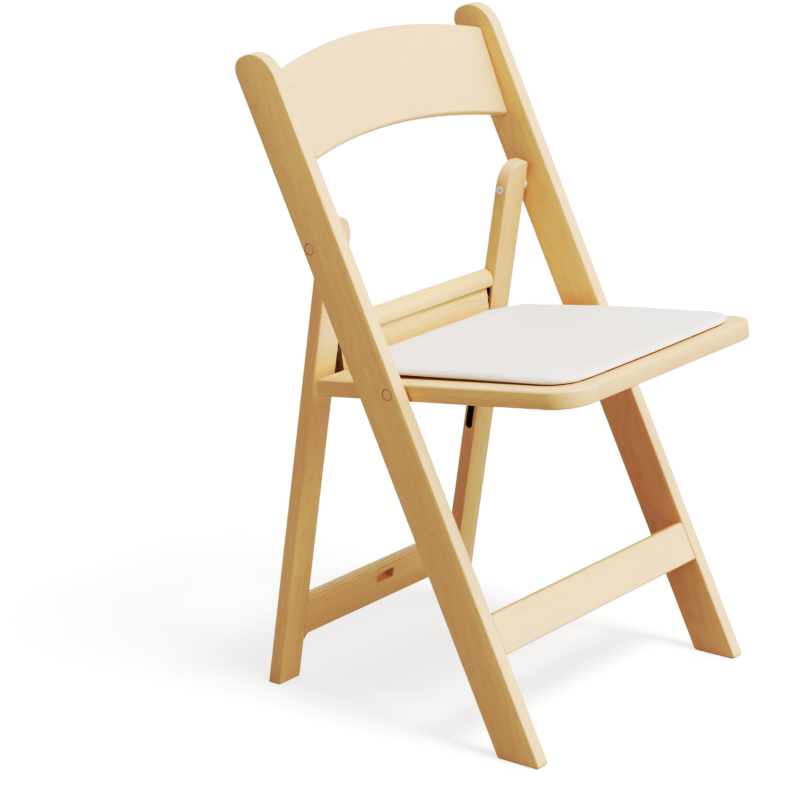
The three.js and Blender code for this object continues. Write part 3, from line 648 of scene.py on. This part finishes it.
def shaped_cushion(start, end):
    form = bmesh.new()
    form.from_mesh(start)
    for vert, blown in zip(form.verts, end.vertices):
        way = blown.co - vert.co
        if way.length > 0:
            vert.co += way * (CROWN_CAP * math.tanh(way.length / CROWN_CAP) / way.length)
        across, back = vert.co.x / PAD_HALF, vert.co.y
        side = across * min(1, abs(across)) ** 3
        vert.co.x -= SIDE_PULL * hump((back - MIDDLE) / HALF_DEPTH) * side
        vert.co.y -= FRONT_BOW * hump(across) * max(0.0, (MIDDLE - back) / HALF_DEPTH) ** 2
        up = min(1.0, max(0.0, (vert.co.z - PAD_LOW) / (PAD_TOP - PAD_LOW)))
        lift = LIFT * min(1.0, max(0.0, (back - LIFT_FROM) / (LIFT_TO - LIFT_FROM)))
        drop = DROP * max(0.0, (DROP_FROM - back) / (DROP_FROM - PAD_FRONT)) ** 1.3
        vert.co.z += lift * (1 - up) ** 2 - drop * up
    bmesh.ops.smooth_vert(form, verts=form.verts, factor=0.5,
                          use_axis_x=True, use_axis_y=True, use_axis_z=True)
    top = max(v.co.z for v in form.verts)
    print("crown", round(top * 1000, 1), "mm above the seat pivot")
    bmesh.ops.transform(form, matrix=seat_frame, verts=form.verts)
    for face in form.faces:
        face.smooth = True
    mesh = bpy.data.meshes.new("cushion")
    form.to_mesh(mesh)
    form.free()
    return mesh


cushion = bpy.data.objects.new("cushion", shaped_cushion(start, end))
scene.collection.objects.link(cushion)
bpy.data.objects.remove(blank)
finer = cushion.modifiers.new("Smooth vinyl", "SUBSURF")
finer.levels = finer.render_levels = 1
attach(cushion, "seat")
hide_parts("seat_cushion")
print("cushion:", len(cushion.data.polygons), "faces before smoothing")

# %% [markdown]
# ## Vinyl
# Upholstery vinyl is a soft plastic skin, embossed with a fine leather grain: small round cells with
# shallow creases between them. The colour is an even ivory, with the faintest cloudiness. The cells come
# from a Voronoi texture laid in space, since the skin is nearly flat.

# %% Vinyl finish
VINYL_LIGHT, VINYL_DARK = (0.70, 0.665, 0.635, 1), (0.655, 0.62, 0.59, 1)
CELL = 0.55          # cells per millimetre


def vinyl_finish():
    material, tree, shader = blank_material("Ivory vinyl")
    spot = node(tree, "ShaderNodeTexCoord").outputs["Object"]
    place = scaled(tree, spot, IN_MM)
    nudge = noise(tree, place, 0.35).outputs["Color"]
    uneven = node(tree, "ShaderNodeVectorMath", {0: place, 1: nudge}, operation="ADD").outputs[0]
    inputs = {"Vector": uneven, "Scale": CELL}
    cells = node(tree, "ShaderNodeTexVoronoi", inputs, feature="DISTANCE_TO_EDGE")
    crease = spread(tree, cells.outputs["Distance"], 0.0, 0.22)
    fine = noise(tree, place, 2.0, 3.0).outputs[0]
    height = maths(tree, "ADD", crease, maths(tree, "MULTIPLY", fine, 0.35))
    haze = spread(tree, noise(tree, place, 0.012, 3.0).outputs[0], 0.35, 0.65, 0.0, 0.75)
    # painted shade: the creases between the cells are painted a little darker
    tone = maths(tree, "ADD", haze, maths(tree, "MULTIPLY", crease, 0.25))
    tree.links.new(mix_colour(tree, tone, VINYL_DARK, VINYL_LIGHT), shader.inputs["Base Color"])
    tree.links.new(spread(tree, height, 0.2, 1.2, 0.55, 0.42), shader.inputs["Roughness"])
    raise_surface(tree, shader, height, 0.10, 0.0002)
    return material


cushion.data.materials.append(vinyl_finish())
print("cushion finish:", cushion.data.materials[0].name)

# %% [markdown]
# ## Soft edges
# The CAD solids arrive as loose triangles. A small geometry-nodes recipe joins them and smooths every edge
# that turns by less than a set angle, so roundings look round and flats stay flat. The mesh itself isn't
# touched.

# %% Smooth by angle
SMOOTH_BELOW = math.radians(32)
SAME_POINT = 0.002 * MM


def smoothing_recipe():
    tree = bpy.data.node_groups.new("Soft edges", "GeometryNodeTree")
    tree.interface.new_socket(name="Geometry", in_out="INPUT", socket_type="NodeSocketGeometry")
    tree.interface.new_socket(name="Geometry", in_out="OUTPUT", socket_type="NodeSocketGeometry")
    start, end = tree.nodes.new("NodeGroupInput"), tree.nodes.new("NodeGroupOutput")
    bare = node(tree, "GeometryNodeRemoveAttribute", {"Geometry": start.outputs[0], "Name": "custom_normal"})
    inputs = {"Geometry": bare.outputs[0], "Distance": SAME_POINT}
    shaded = node(tree, "GeometryNodeMergeByDistance", inputs).outputs[0]
    angle = node(tree, "GeometryNodeInputMeshEdgeAngle").outputs["Unsigned Angle"]
    flat = node(tree, "FunctionNodeCompare", {0: angle, 1: SMOOTH_BELOW}, operation="LESS_EQUAL").outputs[0]
    for domain, smooth in (("FACE", True), ("EDGE", flat)):
        inputs = {"Geometry": shaded, "Shade Smooth": smooth}
        shaded = node(tree, "GeometryNodeSetShadeSmooth", inputs, domain=domain).outputs[0]
    tree.links.new(shaded, end.inputs[0])
    return tree


soft_edges = smoothing_recipe()
for solid in nodes.values():
    solid.modifiers.new("Soft edges", "NODES").node_group = soft_edges
print("soft edges on", len(nodes), "solids")

# %% [markdown]
# ## Studio
# A pale paper floor in a bright even surround, and three lamps. The main one stands high in front of the
# chair and looks nineteen degrees wide from it, so its shadows fall behind the chair and are soft. A very
# wide, low lamp fills in the front faces, and a weak lamp behind lights the top edges of the rails. The
# paper glows a little of its own, as on a light table, which keeps the shadows faint.

# %% Floor, surround and lamps
LAMP_DIRECTION = Vector((0.0, -0.48, 0.88))
LAMP_WIDTH = math.radians(19)
LAMP_POWER = 5.6
FILL_DIRECTION = Vector((0.50, -0.82, 0.22))
FILL_WIDTH = math.radians(70)
FILL_POWER = 2.9
BACK_DIRECTION = Vector((0.30, 0.70, 0.62))
BACK_WIDTH = math.radians(50)
BACK_POWER = 1.5
SURROUND_LIGHT = (0.655, 0.618, 0.572, 1)
FLOOR_HALF = 14
PAPER_GLOW = 1.15
PAPER_SEEN = (0.78, 0.78, 0.78, 1)
PAPER_BOUNCE = (0.275, 0.268, 0.243, 1)
WHITE = (3.2, 3.2, 3.2, 1)


def studio_floor():
    sheet = bpy.data.meshes.new("studio_floor")
    form = bmesh.new()
    bmesh.ops.create_grid(form, x_segments=1, y_segments=1, size=FLOOR_HALF)
    form.to_mesh(sheet)
    form.free()
    floor = bpy.data.objects.new("studio_floor", sheet)
    scene.collection.objects.link(floor)
    material, tree, shader = blank_material("Studio paper")
    shader.inputs["Roughness"].default_value = 0.9
    shader.inputs["Specular IOR Level"].default_value = 0.0
    seen = node(tree, "ShaderNodeLightPath").outputs["Is Camera Ray"]
    tree.links.new(mix_colour(tree, seen, PAPER_BOUNCE, PAPER_SEEN), shader.inputs["Base Color"])
    shader.inputs["Emission Color"].default_value = (1, 1, 1, 1)
    tree.links.new(maths(tree, "MULTIPLY", seen, PAPER_GLOW), shader.inputs["Emission Strength"])
    sheet.materials.append(material)


def surround():
    world = bpy.data.worlds.new("Surround")
    world.use_nodes = True
    tree = world.node_tree
    seen = node(tree, "ShaderNodeLightPath").outputs["Is Camera Ray"]
    tree.links.new(mix_colour(tree, seen, SURROUND_LIGHT, WHITE), tree.nodes["Background"].inputs["Color"])
    return world


def far_lamp(name, direction, width, power):
    """A lamp so far away that only its direction, its apparent width and its power matter."""
    lamp = bpy.data.objects.new(name, bpy.data.lights.new(name, "SUN"))
    lamp.data.energy = power
    lamp.data.angle = width
    lamp.rotation_mode = "QUATERNION"
    lamp.rotation_quaternion = (-direction).to_track_quat("-Z", "Y")
    scene.collection.objects.link(lamp)


studio_floor()
scene.world = surround()
far_lamp("High lamp", LAMP_DIRECTION, LAMP_WIDTH, LAMP_POWER)
far_lamp("Front fill", FILL_DIRECTION, FILL_WIDTH, FILL_POWER)
far_lamp("Back lamp", BACK_DIRECTION, BACK_WIDTH, BACK_POWER)

# %% [markdown]
# ## Developing the picture
# A camera bends the light it meets: deep tones stay rich, and bright tones roll off gently to white. The
# same curve is drawn here for all colours, from black at 0 to paper white at 3.

# %% The tone curve
BRIGHTEST = 3.0
TONE_CURVE = ((0.05, 0.078), (0.10, 0.24), (0.167, 0.45), (0.36, 0.70), (0.6, 0.83))


def develop(points, brightest):
    view = scene.view_settings
    view.view_transform = "Standard"
    view.use_curve_mapping = True
    mapping = view.curve_mapping
    mapping.white_level = (brightest,) * 3
    curve = mapping.curves[3]
    for x, y in points:
        curve.points.new(x, y)
    mapping.update()


develop(TONE_CURVE, BRIGHTEST)
print("tone curve through", len(TONE_CURVE) + 2, "points")

# %% [markdown]
# ## Camera
# The camera stands in front of the chair, to the sitter's right, at head height, with a long lens. Its tilt
# and small roll are set by a rotation from the direction it looks back along.

# %% Camera
def studio_camera(at, azimuth, elevation, roll, lens):
    """Azimuth 0 looks along +Y; angles in degrees, lens for a 36 mm wide picture."""
    a, e, r = (math.radians(x) for x in (azimuth, elevation, roll))
    back = Vector((math.sin(a) * math.cos(e), -math.cos(a) * math.cos(e), math.sin(e)))
    level = Vector((math.cos(a), math.sin(a), 0))
    over = back.cross(level)
    right = math.cos(r) * level + math.sin(r) * over
    up = math.cos(r) * over - math.sin(r) * level
    camera = bpy.data.objects.new("Camera", bpy.data.cameras.new("Camera"))
    camera.data.sensor_width = 36
    camera.data.lens = lens
    camera.data.clip_end = 60
    camera.matrix_world = Matrix.Translation(at) @ Matrix((right, up, back)).transposed().to_4x4()
    scene.collection.objects.link(camera)
    scene.camera = camera
    return camera


CAMERA_AT = Vector((-2.68285, -2.01615, 1.36279))
camera = studio_camera(CAMERA_AT, azimuth=-50.86, elevation=16.674, roll=-1.592, lens=131.23)
print("camera at", [round(x, 3) for x in camera.location])
